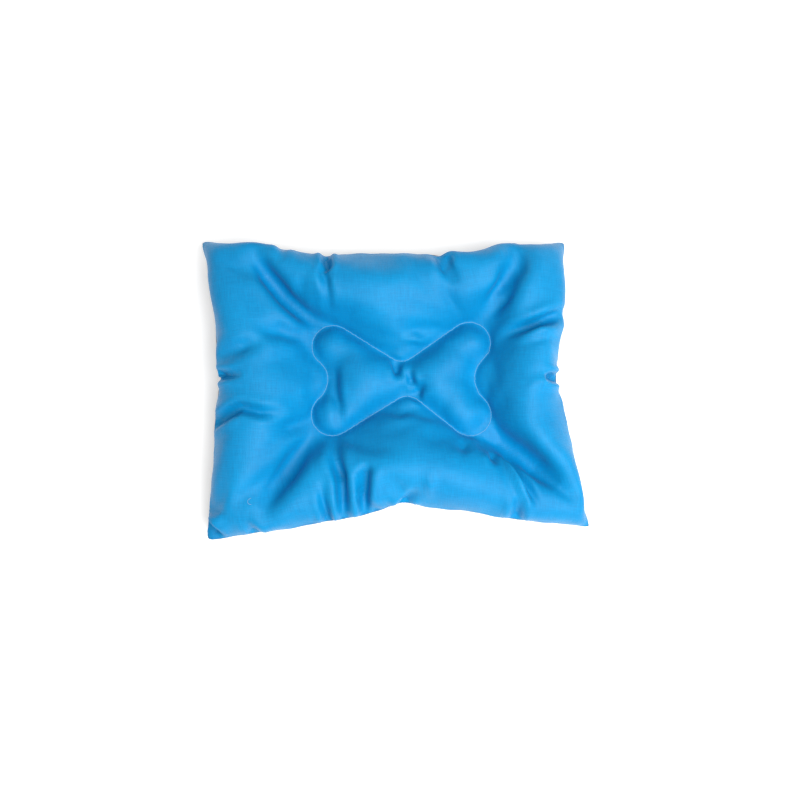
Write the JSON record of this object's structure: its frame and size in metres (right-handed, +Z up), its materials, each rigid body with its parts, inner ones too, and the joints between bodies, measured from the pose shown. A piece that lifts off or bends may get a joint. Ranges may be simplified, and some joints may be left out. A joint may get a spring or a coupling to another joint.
{
  "type": "camp pillow",
  "caption": "Stuffed rectangular camp pillow with a butterfly-shaped quilted pocket in its middle and a dark back panel.",
  "frame": {"origin": "on the surface that the pillow lies on, under the middle of its outline", "axes": "+X along the pillow's length, +Y across it, +Z up out of the blue side, with the dark panel underneath"},
  "size_m": [0.4, 0.31, 0.0745],
  "materials": {
    "cover_blue": "plain-woven polyester with a low sheen, bright blue",
    "cover_dark": "coated plain-woven polyester, nearly black",
    "fibre_fill": "loose hollow polyester fibre, off-white",
    "thread_pale": "spun polyester thread, pale blue",
    "thread_blue": "spun polyester thread, blue"
  },
  "bodies": {
    "root": {"top_panel": "cover_blue", "back_panel": "cover_dark", "ring_fill": "fibre_fill", "pocket_fill": "fibre_fill", "quilting_needle_thread": "thread_pale", "quilting_bobbin_thread": "thread_pale", "edge_seam_needle_thread": "thread_blue", "edge_seam_bobbin_thread": "thread_blue", "edge_overlock_thread": "thread_blue", "closing_needle_thread": "thread_blue", "closing_bobbin_thread": "thread_blue"}
  },
  "joints": []
}
